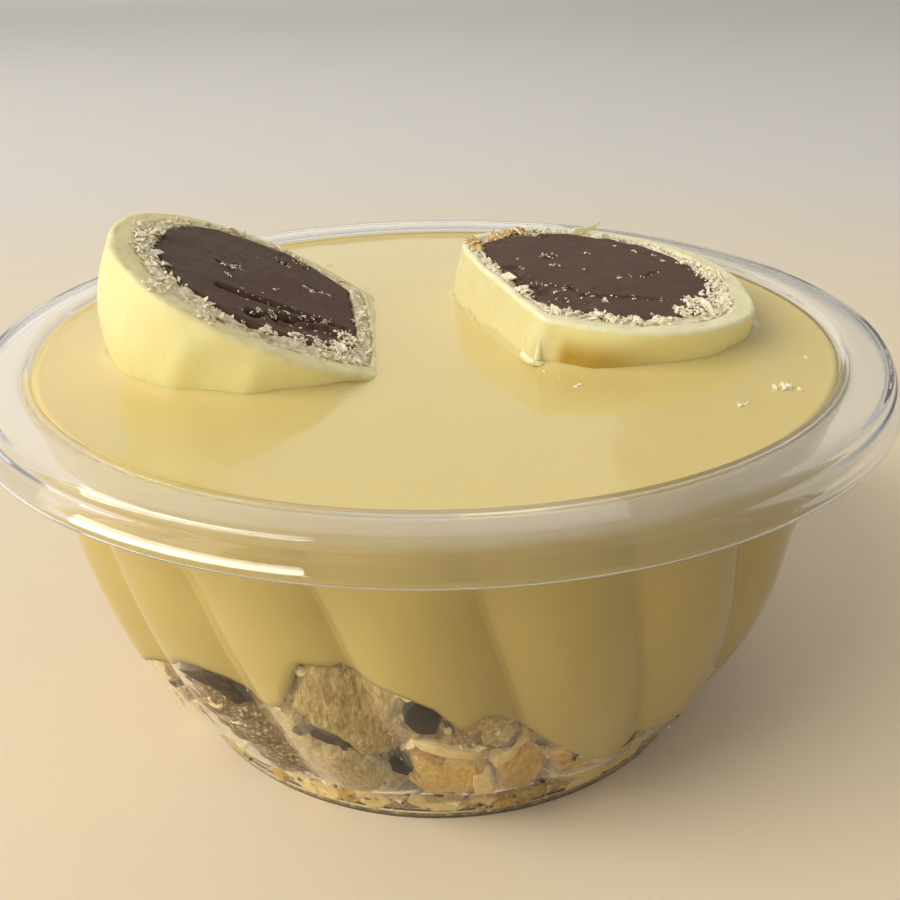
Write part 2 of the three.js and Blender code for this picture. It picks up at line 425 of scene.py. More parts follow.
# Colours of the cut rim, darker and paler.
CUT_COLOURS = {
    "left": ((0.79, 0.69, 0.31), (0.88, 0.80, 0.44)),
    "right": ((0.81, 0.74, 0.42), (0.89, 0.84, 0.56)),
}


def coat_look(side, corner_shade):
    """White coating, paler and matt where it is cut; corner_shade is how strongly painted shade turns one
    corner golden brown.
    """
    look = Look(f"white_coating_{side}", IOR=1.45)
    scatter(look, 0.3, (1.0, 0.72, 0.3), 1.6)
    across, along, depth = look.axis(0), look.axis(1), look.axis(2)
    wall = look.mix(look.noise(7, detail=3), (0.93, 0.85, 0.43), (0.895, 0.795, 0.35))
    # painted shade: the near wall turns golden brown low down by the corner's fold, where it lies in shade
    corner_shade_mask = look.times(look.span(along, 0.9, 2.2), look.span(along, 14.0, 3.0), look.span(depth, 0.4, 3.4),
                       look.span(across, 4.0, -6.0), corner_shade)
    wall = look.mix(corner_shade_mask, wall, (0.54, 0.34, 0.055))
    on_base = look.times(look.span(along, 1.6, 0.4), 0.9 * (corner_shade > 0))
    wall = look.mix(on_base, wall, (0.80, 0.72, 0.375))
    powder = look.noise(1.2, detail=5, roughness=0.7)
    cut = look.ramp(powder, *zip((0.35, 0.62), CUT_COLOURS[side]))
    on_cut = look.span(depth, 0.75, 0.12)
    look.set("Base Color", look.mix(on_cut, wall, cut))
    gloss = look.ramp(look.noise(2.2, detail=4), (0.3, 0.24), (0.75, 0.38))
    look.set("Roughness", look.mix(on_cut, gloss, (0.55, 0.55, 0.55)))
    waves = look.bump(look.noise(4, detail=2), 0.10, 0.5)
    fine = look.times(powder, look.math("ADD", look.times(on_cut, 0.9), 0.1))
    look.bump(fine, 0.10, 0.6, after=waves)
    return look.material


def wet_look():
    """Coating that has run down and stayed glossy."""
    look = Look("wet_coating", IOR=1.45)
    scatter(look, 0.3, (1.0, 0.72, 0.3), 1.6)
    tone = look.noise(0.9, detail=3)
    look.set("Base Color", look.mix(tone, (0.96, 0.89, 0.50), (0.92, 0.82, 0.38)))
    look.set("Roughness", look.ramp(tone, (0.3, 0.05), (0.7, 0.12)))
    return look.material


def wafer_look():
    """Crisp wafer crumb: pale and fluffy, with amber-brown pits."""
    look = Look("wafer_crumb", Roughness=0.85, Specular_IOR_Level=0.2)
    tone = look.noise(0.55, detail=5, roughness=0.7)
    pale = look.ramp(tone, (0.32, (0.62, 0.45, 0.21)), (0.45, (0.84, 0.73, 0.48)), (0.60, (0.95, 0.90, 0.70)))
    pits = look.ramp(look.noise(2.4, detail=3, roughness=0.6), (0.56, 0.0), (0.66, 1.0))
    look.set("Base Color", look.mix(pits, pale, (0.50, 0.32, 0.12)))
    look.bump(look.noise(0.22, detail=4, roughness=0.75), 0.14, 0.9)
    return look.material


def filling_look():
    look = Look("chocolate_filling", Specular_IOR_Level=0.06)
    tone = look.noise(3.2, detail=4, stretch=(0.5, 1.6, 1))
    colour = look.mix(tone, (0.098, 0.057, 0.040), (0.128, 0.077, 0.055))
    # painted shade: the filling darkens with depth below the cut face, in its gouges and at its sunken edge
    groove_shade = look.span(look.axis(2), 0.35, 1.0)
    look.set("Base Color", look.mix(groove_shade, colour, (0.058, 0.024, 0.012)))
    look.set("Roughness", look.ramp(look.noise(0.8, detail=4), (0.3, 0.44), (0.7, 0.62)))
    look.bump(look.noise(0.5, detail=4, roughness=0.6, stretch=(0.6, 1.5, 1)), 0.025, 0.5)
    return look.material


def crumb_look(name, dark, mid, pale, size=0.8, relief=0.14, split=(0.34, 0.5, 0.68)):
    """Baked crumb in three tones, split at these values of the noise."""
    look = Look(name, Roughness=0.8, Specular_IOR_Level=0.05)
    tone = look.noise(size, detail=5, roughness=0.72)
    look.set("Base Color", look.ramp(tone, *zip(split, (dark, mid, pale))))
    look.bump(look.noise(size * 0.35, detail=4, roughness=0.7), relief, 0.9)
    return look.material


def fibre_look(name, dark, mid, pale):
    """Porous wafer seen through the wall, with its fibres running up and down."""
    look = Look(name, Roughness=0.8, Specular_IOR_Level=0.05)
    fibres = look.noise(0.55, detail=5, roughness=0.7, stretch=(1.5, 1.5, 0.35), distortion=0.6)
    patches = look.noise(3.0, detail=3)
    colour = look.ramp(fibres, (0.32, dark), (0.5, mid), (0.68, pale))
    shade = look.ramp(patches, (0.3, (0.72, 0.72, 0.70)), (0.7, (1.0, 0.98, 0.95)))
    look.set("Base Color", look.mix(1.0, colour, shade, blend="MULTIPLY"))
    look.bump(fibres, 0.3, 0.9)
    return look.material


def floor_look():
    look = Look("pale_floor", Roughness=0.7)
    tone = look.noise(60, detail=4)
    away = look.node("VectorMath", {0: look.coords}, operation="LENGTH").outputs["Value"]
    near = look.mix(tone, (0.80, 0.675, 0.48), (0.83, 0.70, 0.51))
    far = look.mix(tone, (0.70, 0.672, 0.637), (0.74, 0.707, 0.667))
    look.set("Base Color", look.mix(look.span(away, 0.09, 0.40), near, far))
    return look.material


# ---- the clear cup
HALF_FLUTE_SHARES = (0.017, 0.024, 0.031, 0.045, 0.08, 0.15, 0.24, 0.34, 0.44)
CUP_WALL_ROWS = 24
CUP_FOOT_ROWS = 7
# Corners of the foot's outer and inner edge: out from the foot's radius, height (mm).
FOOT_EDGE = ((-0.9, 0), (-0.25, 0.02), (0.05, 0.6), (1.15, 4.6))
FOOT_INNER_EDGE = ((0.5, 4.6), (-0.5, 0.9), (-1.4, WALL))
# Corners of the flange and lip, from under the mouth round the tip and back: a radius, then how far
# each corner is out from it and below the rim (mm).
RIM_CORNERS = (
    (MOUTH_RADIUS, ((-0.55, 1.3), (-0.1, SHEET))),
    (FLANGE_RADIUS, ((-0.7, SHEET), (-0.25, 0.62), (-0.05, 1.1), (0.12, 1.8), (0.5, 2.35))),
    (LIP_RADIUS, ((-0.68, 2.85), (-0.36, 3.1), (-0.04, 3.0), (0, 2.4), (-0.05, 2.3), (-0.2, 2.15),
                  (-0.36, 1.99), (-0.45, 1.85), (-0.85, 1.3))),
    (FLANGE_RADIUS, ((0.45, 0.9), (0.38, 0.35), (0.05, 0.02), (-0.6, 0))),
    (MOUTH_RADIUS, ((-0.3, 0), (-1.0, 0.45))),
)


def column_angles():
    """Angles of the wall's columns at the top of the flutes: closest beside each crease."""
    half = np.array(HALF_FLUTE_SHARES)
    shares = np.concatenate([[0], half, 1 - half[::-1]])
    return (np.arange(FLUTES)[:, None] + shares).ravel() * 360 / FLUTES + CREASE_DEG


def cup_ring(radius, z, inset=0.0):
    """A ring of the wall whose points keep to the same place on their flutes."""
    angle = column_angles() + twist(z)
    return on_wall(angle, z, inset) if radius is None else polar(radius, angle, z)


def round_corners(points, times=2):
    """Cuts the corners of an open outline, keeping its ends."""
    points = np.asarray(points, float)
    for _ in range(times):
        a = 0.75 * points[:-1] + 0.25 * points[1:]
        b = 0.25 * points[:-1] + 0.75 * points[1:]
        middle = np.stack([a, b], 1).reshape(-1, 2)[1:-1]
        points = np.concatenate([points[:1], middle, points[-1:]])
    return points


def make_cup():
    wall_top = float(crest_radius(FLUTE_TOP))
    foot = [(FOOT_RADIUS + out, z) for out, z in FOOT_EDGE]
    inner_foot = [(FOOT_RADIUS + out, z) for out, z in FOOT_INNER_EDGE]
    rim = [(radius + out, HEIGHT - below) for radius, corners in RIM_CORNERS for out, below in corners]
    rim = [(wall_top, FLUTE_TOP + 0.2), *rim, (wall_top - WALL, FLUTE_TOP + 0.6)]
    heights = [*np.linspace(FOOT_CONE_TOP, SHOULDER_Z, CUP_FOOT_ROWS),
               *np.linspace(SHOULDER_Z + 0.4, FLUTE_TOP, CUP_WALL_ROWS)]
    rings = [cup_ring(r, z) for r, z in round_corners(foot)]
    rings += [cup_ring(None, z) for z in heights]
    rings += [cup_ring(r, z) for r, z in round_corners(rim)]
    rings += [cup_ring(None, z, WALL) for z in reversed(heights)]
    rings += [cup_ring(r, z) for r, z in round_corners(inner_foot)]
    points, faces = closed_skin(rings, (0, 0, 0), (0, 0, WALL))
    add_piece(make_object("cup_clear", points, faces, [clear_plastic()]), ["cup"])


# ---- heap and cream levels
# Mounds of the heap: angle in degrees, radius, rise and spread in mm.
MOUNDS = (
    (-15, 37, 12, 5), (-37, 36, 7.5, 5), (-3, 37, 6.5, 5.5), (8, 36, 3.5, 5), (28, 34, -5, 6.5),
    (80, 30, 3, 10), (130, 33, 6, 8), (-165, 31, 4.5, 9), (-110, 30, 3, 9),
)

# Where the cream ends against the wall at the front: angle in degrees, height in mm.
CREAM_EDGE = (
    (-44, 16.3), (-39.8, 18.9), (-35.3, 20.9), (-29.7, 20.4), (-25.1, 18.3), (-22.3, 18.4),
    (-20, 19.6), (-18.4, 22.6), (-17.2, 25.0), (-15.8, 25.3), (-14.3, 24.4), (-12.4, 25.0),
    (-8.6, 23.6), (-4.5, 22.6), (-1.2, 21.4), (-0.1, 19.6), (2.1, 18.7), (3.8, 18.9), (5.7, 20.3),
    (8.4, 18.5), (10.8, 16.9), (13.5, 15.3), (19.4, 11.5), (25, 8.5), (29, 7.6), (34, 9.4),
    (41.7, 9.6),
)
EDGE_BLEND_DEG = 12


def heap_height(spot):
    """Height of the heap's top at points of the plan."""
    z = HEAP_MEAN_Z + 0.5 * np.sin(spot[..., 0] * 0.45 + 1) * np.cos(spot[..., 1] * 0.4)
    for angle, radius, rise, spread in MOUNDS:
        away = (spot - polar(radius, angle, 0.0))[..., :2]
        z = z + rise * np.exp(-(away**2).sum(-1) / (2 * spread * spread))
    return z


def heap_ring(angle, edge, share, radius, blend_from, lift, edge_lift):
    """A ring over the heap, at a share of radius: near the wall it comes level with the cream's edge."""
    ring = polar(share * radius, angle, 0.0)
    blend = smooth(blend_from, 1, share)
    ring[..., 2] = (heap_height(ring) + lift) * (1 - blend) + (edge + edge_lift) * blend
    return ring


def cream_edge(angle):
    """Lowest height of the cream at the wall, for angles in degrees."""
    angle = (np.asarray(angle, float) + 180) % 360 - 180
    spot = polar(36.0, angle, 0.0)
    far = heap_height(spot) + 1.6 * fractal(spot + 50, 5.0, seed=3)
    known = np.array(CREAM_EDGE)
    near = np.interp(angle, known[:, 0], known[:, 1])
    inside = smooth(known[0, 0] - EDGE_BLEND_DEG, known[0, 0], angle)
    inside = inside * (1 - smooth(known[-1, 0], known[-1, 0] + EDGE_BLEND_DEG, angle))
    return near * inside + far * (1 - inside) + 0.22 * fractal(spot, 1.6, seed=5)


# ---- the bonbon halves
class Half:
    """One bonbon half: local X across the cut face, Y towards the dome, Z into the body."""

    def __init__(self, side, near, seed, at, heading, slope, layers):
        self.side = side
        self.near = near
        self.seed = seed
        self.at = np.array(at)
        self.slope = np.array((*slope, 0.0))
        self.layers = layers
        x, y = math.cos(math.radians(heading)), math.sin(math.radians(heading))
        axis = Vector((x, y, slope[0] * x + slope[1] * y)).normalized()
        normal = Vector((-slope[0], -slope[1], 1)).normalized()
        frame = Matrix((normal.cross(axis), axis, -normal)).transposed()
        self.turn = np.array(frame)
        self.place = Matrix.Translation(Vector(at) * MM) @ frame.to_4x4()

    def face_height(self, points):
        """Height of the cut face's plane over points of the plan."""
        return self.at[2] + (points - self.at) @ self.slope

    def to_local(self, points):
        return (np.asarray(points) - self.at) @ self.turn

    def edge(self, layer):
        """The outline on the cut face of the coating's or the wafer's inner side."""
        side, base, top, shift = self.layers[layer]
        profile = bonbon_profile(side, base, top, FACE_STEPS)
        return self.dented(outline_of(half_turn(profile, 3, shift)))

    def dented(self, points):
        """The points moved inwards at the dents of this half."""
        middle = np.array([0.0, BONBON_WIDEST])
        for x, y, spread, depth in DENTS[self.side]:
            away = (points[..., 0] - x) ** 2 + (points[..., 1] - y) ** 2
            move = depth * np.exp(-away / spread**2) * smooth(DENT_FADE, 0.0, points[..., 2])
            inward = unit(middle - points[..., :2])
            points = points.copy()
            points[..., :2] += inward * move[..., None]
        return points

    def make(self, part, points, faces, look):
        return make_object(f"bonbon_{self.side}_{part}", points, faces, [look], place=self.place)


def bonbon_profile(side, base, top, count=90):
    """Radius and height along a whole bonbon's half outline, from base centre to dome top."""
    wide = BONBON_RADIUS - side
    t = np.linspace(0, 1, count)
    flat = t[t < 0.2] / 0.2
    flank = (t[(t >= 0.2) & (t < 0.45)] - 0.2) / 0.25
    dome = (t[t >= 0.45] - 0.45) / 0.55
    low = wide * BASE_SHARE * flat
    low_h = base - BASE_BULGE * (1 - flat**2)
    mid = wide * (1 - (1 - BASE_SHARE) * (1 - flank) ** 2)
    mid_h = base + (BONBON_WIDEST - base) * flank
    a = dome * math.pi / 2
    high = wide * np.clip(np.cos(a), 0, 1) ** (2 / DOME_POWER)
    high_h = BONBON_WIDEST + (BONBON_HEIGHT - top - BONBON_WIDEST) * np.sin(a) ** (2 / DOME_POWER)
    profile = np.stack([np.concatenate([low, mid, high]), np.concatenate([low_h, mid_h, high_h])], -1)
    for _ in range(3):
        profile[1:-1] = 0.25 * profile[:-2] + 0.5 * profile[1:-1] + 0.25 * profile[2:]
    return profile


def half_turn(profile, steps, shift=0.0):
    """The profile swept half round, from the +X edge of the face to its -X edge."""
    phi = np.linspace(0, math.pi, steps)
    r = profile[:, 0][:, None]
    fade = np.clip(profile[:, 0] / 6, 0, 1)[:, None]
    out = np.empty((len(profile), steps, 3))
    out[..., 0] = r * np.cos(phi) + shift * fade * np.cos(phi) ** 2
    out[..., 1] = profile[:, 1][:, None]
    out[..., 2] = r * np.sin(phi)
    return out


def outline_of(surface):
    """The closed outline on the face: up the +X edge, down the -X edge."""
    return np.concatenate([surface[:, 0], surface[::-1, -1][1:-1]])


def line_dip(flat, path, width, depth, ragged, seed):
    """A groove along a path over the flat points of a face, as a depth at each point."""
    x, y = flat[..., 0], flat[..., 1]
    away = np.inf
    for (ax, ay), (bx, by) in itertools.pairwise(path):
        dx, dy = bx - ax, by - ay
        t = np.clip(((x - ax) * dx + (y - ay) * dy) / (dx * dx + dy * dy), 0, 1)
        away = np.minimum(away, np.hypot(x - ax - t * dx, y - ay - t * dy))
    away = away + ragged * fractal(flat, 1.2, seed=seed)
    return depth * (1 - smooth(width * 0.35, width, away))


# Marks in the two fillings, in face coordinates (mm): path, half width, depth, raggedness.
MARKS = {
    "left": (
        (((4.9, 17.0), (4.6, 14.2), (4.0, 11.7), (3.7, 9.8)), 0.85, 1.25, 0.10),
        (((-1.9, 18.0), (-1.6, 17.2), (-1.0, 16.5)), 0.55, 1.0, 0.3),
        (((-3.0, 16.2), (-2.2, 15.8)), 0.35, 0.6, 0.3),
        (((-10.4, 11.7), (-10.9, 11.0)), 0.55, 0.8, 0.3),
        (((-5.6, 8.7), (-5.2, 7.8)), 0.45, 0.8, 0.2),
        (((-5.3, 7.4), (-6.0, 5.6)), 0.22, 0.4, 0.2),
        (((9.5, 14.1), (7.6, 12.8), (7.4, 11.5)), 0.6, 1.0, 0.4),
        (((6.4, 11.0), (5.8, 9.6), (3.9, 7.0)), 0.55, 0.9, 0.4),
        (((3.9, 9.2), (3.2, 7.2), (2.6, 5.8), (3.2, 4.2)), 0.6, 0.9, 0.45),
        (((8.0, 10.6), (7.0, 8.2), (5.8, 5.6)), 1.3, 0.4, 0.8),
        (((-13.4, 10.0), (-12.6, 8.6)), 0.5, 0.6, 0.4),
    ),
    "right": (
        (((-6.4, 7.2), (-7.3, 9.6), (-7.9, 12.7), (-9.0, 14.8)), 0.38, 1.0, 0.1),
        (((-2.9, 2.0), (-3.1, 4.3), (-4.3, 6.6), (-6.2, 7.5)), 0.4, 0.7, 0.35),
        (((-1.9, 14.3), (-2.1, 16.7), (-0.4, 19.7)), 0.3, 0.15, 0.3),
        (((-9.0, 5.2), (-5.6, 3.6), (-2.0, 3.0), (2.0, 3.2)), 1.3, 0.32, 0.8),
        (((6.2, 8.0), (5.4, 9.4)), 0.5, 0.25, 0.4),
        (((14.0, 9.0), (13.2, 11.6)), 0.9, 0.4, 0.5),
    ),
}


# Soft folds of the coating on the near side: place along the half, width, height (mm).
FOLDS = {
    "left": ((18.2, 1.3, 0.22), (15.2, 1.8, -0.12), (12.0, 1.2, 0.20), (8.2, 2.4, -0.15), (23.5, 1.8, 0.12)),
    "right": ((4.5, 1.8, 0.25), (10.0, 2.5, -0.2), (17.0, 2.2, 0.2)),
}
# Folds of the coating on the base of the right half: place across it, width, height (mm).
BASE_FOLDS = {"left": (), "right": ((1.2, 1.6, 0.25), (-10.8, 1.2, 0.5), (7.5, 2.2, 0.15))}
# Where the outline of a half is not quite that of the whole ball: place on the face, spread, depth (mm).
DENTS = {
    "left": (),
    "right": ((12.4, 0.0, 2.4, 1.0), (-7.5, 25.0, 6.5, 0.9)),
}
DENT_FADE = 6.0  # how far behind the cut face a dent has died away


def fold_height(along, folds):
    return sum(height * np.exp(-(((along - at) / width) ** 2)) for at, width, height in folds)


def make_coating(half, look):
    """The coating's outside, its rounded edge, the cut rim and a floor under the layers."""
    outer = half.dented(half_turn(bonbon_profile(0, 0, 0, FACE_STEPS), 90))
    waves = fractal(outer * (1, 0.7, 0.25), 6.5, seed=half.seed) * 0.28
    near = smooth(2, 12, outer[..., 0] * half.near) * smooth(0.0, 3.0, outer[..., 2])
    waves = waves + near * fold_height(outer[..., 1], FOLDS[half.side])
    outer = outer + unit(outer - (0, BONBON_WIDEST, 0)) * waves[..., None]
    on_base = smooth(1.2, 0.0, outer[..., 1]) * smooth(0.4, 3.2, outer[..., 2])
    outer[..., 1] -= on_base * fold_height(outer[..., 0], BASE_FOLDS[half.side])
    outer[..., 2] = np.hypot(outer[..., 2], EDGE_ROUND)
    outer_edge = outline_of(outer)
    inner_edge = half.edge("coating")
    inner_edge = inner_edge + 0.16 * fractal(inner_edge, 1.1, seed=half.seed + 1)[:, None] * (1, 1, 0)
    inward = at_depth(inner_edge - outer_edge, 0)
    width = np.linalg.norm(inward, axis=1, keepdims=True)
    inward = inward / width
    rim = []
    for turn in np.radians((20, 40, 60, 80)):
        rim.append(outer_edge + inward * EDGE_ROUND * (1 - math.cos(turn)))
        rim[-1][:, 2] -= EDGE_ROUND * math.sin(turn)
    for t in np.linspace(0.06, 1, 9):
        row = outer_edge + inward * (EDGE_ROUND + (width - EDGE_ROUND) * t)
        row[:, 2] = 0.02 + 0.09 * fractal(row, 2.0, seed=half.seed + 2) + 0.18 * smooth(0.8, 1.0, t)
        rim.append(row)
    rim = np.array([*rim, at_depth(inner_edge, 2.5)])
    points = np.concatenate([outer.reshape(-1, 3), rim.reshape(-1, 3), [[0, BONBON_WIDEST, 2.6]]])
    start, centre, count = outer[..., 0].size, len(points) - 1, len(inner_edge)
    # the outside meets the first row of the rim along the outline of the face
    seam = outline_of(np.arange(start).reshape(outer.shape[:2]))
    first = start + np.arange(count)
    faces = [*grid_faces(*outer.shape[:2], wrap=False, flip=True).tolist(),
             *grid_faces(*rim.shape[:2], start=start, flip=True).tolist(),
             *np.stack([seam, first, np.roll(first, -1), np.roll(seam, -1)], -1).tolist(),
             *fan_faces(centre, centre - count, count, flip=True).tolist()]
    shell = half.make("shell", points, faces, look)
    weld(shell)
    add_piece(shell, [f"bonbon_{half.side}_coating"])


def make_wafer(half, look):
    """The crisp ring between coating and filling, with a rough broken face."""
    outer, inner = half.edge("coating"), half.edge("wafer")
    rows = []
    for t in np.arange(-2, WAFER_STEPS + 3) / WAFER_STEPS:
        row = outer * (1 - t) + inner * t
        ridges = 1 - 2 * np.abs(value_noise(row, 0.6, seed=half.seed + 9))
        relief = 0.26 * fractal(row, 1.0, seed=half.seed + 7, octaves=4) - 0.12 * ridges + 0.16
        row[:, 2] = relief if 0 < t < 1 else 1.4
        rows.append(row)
    rows = np.array([at_depth(rows[0], 2.4), *rows, at_depth(rows[-1], 2.4)])
    # the last row is joined to the first, so the ring is closed underneath
    faces = grid_faces(len(rows) + 1, len(outer), flip=True) % (len(rows) * len(outer))
    ring = half.make("crumb_ring", rows.reshape(-1, 3), faces.tolist(), look)
    add_piece(ring, [f"bonbon_{half.side}_wafer"])


def make_filling(half, look):
    """The brown filling: a cut face with gouges, cracks and pits, and a ragged edge."""
    edge = half.edge("wafer")
    ragged = 0.30 * fractal(edge, 1.5, seed=half.seed + 11, octaves=4)
    ragged = ragged + 0.5 * smooth(0.35, 0.9, value_noise(edge, 3.1, seed=half.seed + 13))
    middle = edge.mean(0)
    edge = edge + unit(middle - edge) * ragged[:, None]
    centre = edge.mean(0)
    inward = np.arange(FILLING_RINGS)[:, None] / FILLING_RINGS
    rings = centre + (edge - centre) * (1 - inward[..., None])
    flat = at_depth(rings, 0)
    z = 0.10 * fractal(flat, 6.0, seed=half.seed + 12) + 0.02 * fractal(flat * (1.6, 0.3, 1), 0.9, seed=5)
    for n, mark in enumerate(MARKS[half.side]):
        z = z + line_dip(flat, *mark, seed=half.seed + 20 + n)
    z = z + 0.3 * smooth(0.95, 0.995, value_noise(flat, 0.7, seed=half.seed + 40))
    rings[..., 2] = z + 0.45 * (1 - smooth(0, 0.03, inward))
    rows = [at_depth(rings[0], 2.2), *rings]
    points, faces = closed_skin(rows, (*middle[:2], 2.2), (*middle[:2], rings[-1, :, 2].mean()), flip=True)
    filling = half.make("cut_filling", points, faces, look)
    add_piece(filling, [f"bonbon_{half.side}_filling"])


# ---- camera, light and floor
CAMERA_AT = (0.0, -96.90, 73.63)
CAMERA_YAW = 0.75
CAMERA_DOWN = 26.58
CAMERA_ROLL = -0.65
FOCAL_PIXELS = 941.8
IMAGE_PIXELS = 900
SENSOR_MM = 36.0


def make_camera():
    data = bpy.data.cameras.new("camera")
    data.sensor_width = SENSOR_MM
    data.lens = FOCAL_PIXELS / IMAGE_PIXELS * SENSOR_MM
    data.clip_start = 0.005
    data.clip_end = 100
    turn = Matrix.Rotation(math.radians(-CAMERA_YAW), 4, "Z")
    turn = turn @ Matrix.Rotation(math.radians(90 - CAMERA_DOWN), 4, "X")
    turn = turn @ Matrix.Rotation(math.radians(CAMERA_ROLL), 4, "Z")
    obj = bpy.data.objects.new("camera", data)
    obj.matrix_world = Matrix.Translation(Vector(CAMERA_AT) * MM) @ turn
    SCENE.collection.objects.link(obj)
    SCENE.camera = obj


# Soft lamps: place and size in metres, power in watts, colour, direction of the long side if it matters.
LAMPS = {
    "window": ((-1.09, -0.40, 1.05), (1.35, 0.38), 15, (1.0, 0.98, 0.93), (0.83, -0.87, 0.53)),
    "window_haze": ((-2.0, -0.5, 1.1), (1.8, 1.6), 10.5, (1.0, 0.94, 0.82), None),
    "back_wall": ((-2.5, 5.0, 2.9), (8.5, 4.4), 72, (1.0, 0.975, 0.94), None),
    "front_fill": ((-1.3, -2.2, 0.7), (2.2, 1.2), 5.5, (1.0, 0.955, 0.86), None),
}
LAMPS_AIM = (0, 0, 0.03)
WORLD_COLOUR = (1.0, 0.975, 0.93, 1)
WORLD_STRENGTH = 0.43
FLOOR_HALF = 40_000  # half the floor's width (mm)
FLOOR_GAP = 0.05  # how far the floor lies under the foot (mm)


def area_light(name, at, size, power, colour, along):
    data = bpy.data.lights.new(name, "AREA")
    data.shape = "RECTANGLE"
    data.size, data.size_y = size
    data.energy = power
    data.color = colour
    obj = bpy.data.objects.new(name, data)
    direction = Vector(LAMPS_AIM) - Vector(at)
    turn = direction.to_track_quat("-Z", "Y").to_matrix()
    if along is not None:
        back = -direction.normalized()
        side = (Vector(along) - Vector(along).dot(back) * back).normalized()
        turn = Matrix((side, back.cross(side), back)).transposed()
    obj.matrix_world = Matrix.Translation(at) @ turn.to_4x4()
    SCENE.collection.objects.link(obj)


def make_stage():
    corners = ((-1, -1), (1, -1), (1, 1), (-1, 1))
    points = [(x * FLOOR_HALF, y * FLOOR_HALF, -FLOOR_GAP) for x, y in corners]
    make_object("floor", points, [[0, 1, 2, 3]], [floor_look()])
    for name, facts in LAMPS.items():
        area_light(name, *facts)
    SCENE.world = bpy.data.worlds.new("world")
    SCENE.world.use_nodes = True
    background = SCENE.world.node_tree.nodes["Background"]
    background.inputs["Color"].default_value = WORLD_COLOUR
    background.inputs["Strength"].default_value = WORLD_STRENGTH
    SCENE.view_settings.view_transform = "Standard"


# ---- the cream
CREAM_WALL_ROWS = 40
CREAM_TOP_RINGS = 84
CREAM_INSET = WALL - 0.3  # the cream reaches 0.3 mm into the plastic
# The cream's lower edge: how far in from the wall and above the edge line each row lies (mm).
CREAM_LOWER_EDGE = ((2.3, 0.9), (1.2, 0.25), (0.6, 0.0), (0.2, 0.12), (0.02, 0.45))
MENISCUS_HEIGHT = 0.95  # how far the cream climbs the coating, and how wide that rise is
MENISCUS_WIDTH = 0.85


def bonbon_gap(local, profile):
    """Distance from points, in a half's own frame, to its surface: below 0 inside."""
    radius = np.hypot(local[:, 0], local[:, 2])
    side = np.interp(local[:, 1], profile[:, 1], profile[:, 0], left=0, right=0)
    gap = np.maximum(radius - side, np.maximum(-local[:, 1], local[:, 1] - profile[-1, 1]))
    return np.maximum(gap, -local[:, 2])


def make_cream(halves):
    top_angle = column_angles()
    angle = top_angle + twist(HEAP_MEAN_Z)
    for _ in range(4):
        angle = top_angle + twist(cream_edge(angle))
    edge = cream_edge(angle)
    rows = [heap_ring(angle, edge, share, 37.5, 0.7, 0.8, 1.2) for share in np.linspace(0.05, 0.93, 12)]
    rows += [on_wall(angle, edge + lift, CREAM_INSET + inset) for inset, lift in CREAM_LOWER_EDGE]
    for t in np.linspace(0, 1, CREAM_WALL_ROWS):
        z = (edge + 0.9) * (1 - t) + FLUTE_TOP * t
        rows.append(on_wall(top_angle + twist(z), z, CREAM_INSET))
    low = float(crest_radius(FLUTE_TOP)) - CREAM_INSET
    top = MOUTH_RADIUS - 0.95
    for t in np.linspace(0.2, 1, 5):
        z = FLUTE_TOP + (CREAM_LEVEL + 0.2 - FLUTE_TOP) * t
        rows.append(polar(low + (top - low) * t**1.3, top_angle, z))
    side_rows = len(rows) - 1
    profile = bonbon_profile(0, 0, 0)
    profile = profile[profile[:, 0] > 0.0]
    for i in range(CREAM_TOP_RINGS):
        r = (top - 0.25) * (1 - (i + 1) / (CREAM_TOP_RINGS + 1)) ** 0.95
        spot = polar(r, top_angle, CREAM_LEVEL)
        z = CREAM_LEVEL + 0.05 * fractal(spot, 9.0, seed=8) + 0.22 * np.exp((r - top) / 0.55)
        for half in halves:
            gap = bonbon_gap(half.to_local(spot), profile)
            stands = half.face_height(spot) - CREAM_LEVEL
            climb = MENISCUS_HEIGHT * np.exp(-np.maximum(gap, 0) / MENISCUS_WIDTH)
            z = z + climb * smooth(0.3, 2.0, stands) - 3.5 * smooth(0.15, 1.6, -gap)
        spot[:, 2] = z
        rows.append(spot)
    middle = float(heap_height(np.zeros(3)))
    points, faces = closed_skin(rows, (0, 0, middle + 0.8), (0, 0, CREAM_LEVEL))
    # 1 for the cream that touches the plastic or the heap, 0 for its open top
    marks = np.repeat([1, 0, 1, 0], np.multiply((side_rows, CREAM_TOP_RINGS, 1, 1), len(top_angle)))
    cream = make_object("cream_fill", points, faces, [cream_top_look(), cream_side_look()], marks)
    add_piece(cream, ["cream"])


# ---- the wafer heap
HEAP_COLUMNS = 420
HEAP_ROWS = 60
HEAP_FLOOR_RADII = (8, 18, 26, FOOT_RADIUS - 1.2)  # rings of the heap's underside (mm)
PRESSED = 0.42  # how far the pieces are pushed into the inner face of the wall
RAGGED = 1.5  # how broken the outlines of all the pieces are
CHUNK_RINGS = 12


def make_heap_core(look):
    """The body of the heap, with its relief, a little inside the wall."""
    angle = np.arange(HEAP_COLUMNS) * 360 / HEAP_COLUMNS
    edge = cream_edge(angle)
    rows = [polar(r, angle, 0.32) for r in HEAP_FLOOR_RADII]
    for t in np.linspace(0.0, 1, HEAP_ROWS):
        z = 0.4 + (edge + 0.6) * t
        spot = on_wall(angle, z, WALL)
        high = 0.8 + 0.75 * fractal(spot, 2.6, seed=31, octaves=4) + 0.25 * value_noise(spot, 0.55, seed=33)
        low = 0.75 + 0.42 * fractal(spot, 1.5, seed=35)
        up = smooth(3.0, 6.5, z)
        rows.append(on_wall(angle, z, WALL + np.maximum(high * up + low * (1 - up), -0.28)))
    rows += [heap_ring(angle, edge, share, 34.5, 0.75, -0.4, 0.2) for share in np.linspace(0.94, 0.05, 14)]
    top = float(heap_height(np.zeros(3))) - 0.4
    points, faces = closed_skin(rows, (0, 0, 0.7), (0, 0, top))
    add_piece(make_object("heap_core", points, faces, [look]), ["wafer_layer"])


